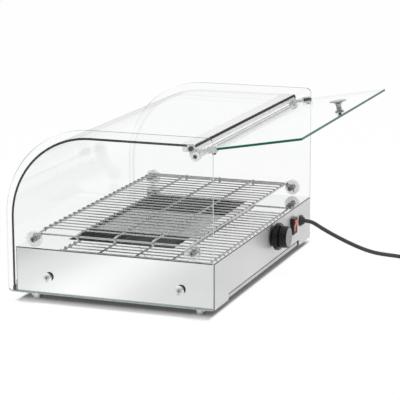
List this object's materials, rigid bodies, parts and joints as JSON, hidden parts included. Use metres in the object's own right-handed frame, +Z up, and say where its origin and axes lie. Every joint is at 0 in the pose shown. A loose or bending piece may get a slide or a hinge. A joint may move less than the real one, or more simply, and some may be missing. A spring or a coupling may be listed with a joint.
{
  "type": "heated display case",
  "caption": "Countertop heated food display case with a curved front glass, lift-off wire rack, lift-up rear glass door, thermostat dial, rocker switch and crumb tray.",
  "frame": {"origin": "on the floor under the middle of the footprint, from the front edge of the end glasses to the edge of the open door and midway between the two sides", "axes": "+Z up, +X along the width with the controls seen from behind on the -X half, +Y from the curved customer side to the service side with the door, switch and dial"},
  "size_m": [0.6549, 0.7054, 0.3352],
  "materials": {
    "housing_steel": "mirror-polished stainless sheet",
    "liner_steel": "plain stainless sheet",
    "element_sheath": "dull heat-toned sheath",
    "ceramic": "matt ceramic bead with a steel pin",
    "glass_clear": "clear toughened glass with pale green edges",
    "glass_door": "clear toughened glass with deep green edges",
    "chrome": "bright chrome plate",
    "zinc_steel": "bright zinc-plated steel",
    "nylon": "translucent white nylon",
    "rail_aluminium": "satin anodised",
    "hinge_steel": "dull drawn tube",
    "rubber_black": "matt black rubber",
    "black_gloss": "glossy black moulding",
    "dial_face": "satin grey disc",
    "rocker_red": "glossy red moulding",
    "black_nylon": "satin black nylon",
    "body_phenolic": "dark phenolic moulding",
    "copper": "plain drawn copper",
    "block_white": "matt white moulding",
    "wire_sleeve": "braided heat-proof sleeve",
    "cord_grey": "dark grey sheath",
    "plug_black": "matt black moulding",
    "pin_brass": "bright brass"
  },
  "bodies": {
    "case": {"base_housing": "housing_steel", "bottom_plate": "liner_steel", "cord_coil": "cord_grey", "cup_washers": "chrome", "curved_glass": "glass_clear", "element_hangers": "liner_steel", "element_terminals": "ceramic", "end_glass_left": "glass_clear", "end_glass_right": "glass_clear", "end_plate_screws": "zinc_steel", "feet": "rubber_black", "foot_nuts": "zinc_steel", "foot_screws": "zinc_steel", "front_channel": "liner_steel", "gland_nut": "black_nylon", "heat_deflector": "liner_steel", "heating_elements": "element_sheath", "hinge_tube": "hinge_steel", "inner_wires": "wire_sleeve", "plug": "plug_black", "plug_pins": "pin_brass", "power_cord": "cord_grey", "rail_end_plates": "chrome", "rail_screws": "zinc_steel", "rail_seal": "rubber_black", "rail_washers": "zinc_steel", "rivet_nuts": "zinc_steel", "side_screws": "zinc_steel", "strain_relief": "black_nylon", "stud_barrels": "chrome", "stud_discs_inner": "nylon", "stud_discs_outer": "nylon", "stud_screws": "zinc_steel", "switch_housing": "black_gloss", "terminal_block": "block_white", "thermostat_body": "body_phenolic", "thermostat_bulb": "copper", "thermostat_plate": "black_gloss", "top_rail": "rail_aluminium", "tray_runners": "liner_steel", "well_liner": "liner_steel", "wiring_shield": "liner_steel"},
    "door": {"door_glass": "glass_door", "door_clamps": "chrome", "clamp_pads": "rubber_black", "clamp_screws": "zinc_steel", "door_knob": "chrome", "knob_screw": "zinc_steel"},
    "rack": {"rack_end_bars": "chrome", "rack_cross_wires": "chrome", "rack_long_wires": "chrome"},
    "dial": {"thermostat_shaft": "zinc_steel", "thermostat_knob": "black_gloss", "knob_face": "dial_face"},
    "rocker": {"switch_rocker": "rocker_red"},
    "tray": {"crumb_tray": "liner_steel"}
  },
  "joints": [
    {"name": "door_hinge", "type": "hinge", "parent": "case", "child": "door", "pos_m": [0, 0.08291, 0.2725], "axis": [1, 0, 0], "range_deg": [-91.2, 0]},
    {"name": "rack_lift", "type": "slide", "parent": "case", "child": "rack", "axis": [0, 0, 1], "range_m": [0, 0.06]},
    {"name": "thermostat_turn", "type": "hinge", "parent": "case", "child": "dial", "pos_m": [-0.038, 0.11641, 0.0695], "axis": [0, 1, 0], "range_deg": [-270, 0]},
    {"name": "rocker_tilt", "type": "hinge", "parent": "case", "child": "rocker", "pos_m": [-0.156, 0.11691, 0.062], "axis": [1, 0, 0], "range_deg": [0, 20]},
    {"name": "tray_slide", "type": "slide", "parent": "case", "child": "tray", "axis": [0, 1, 0], "range_m": [0, 0.3]}
  ]
}
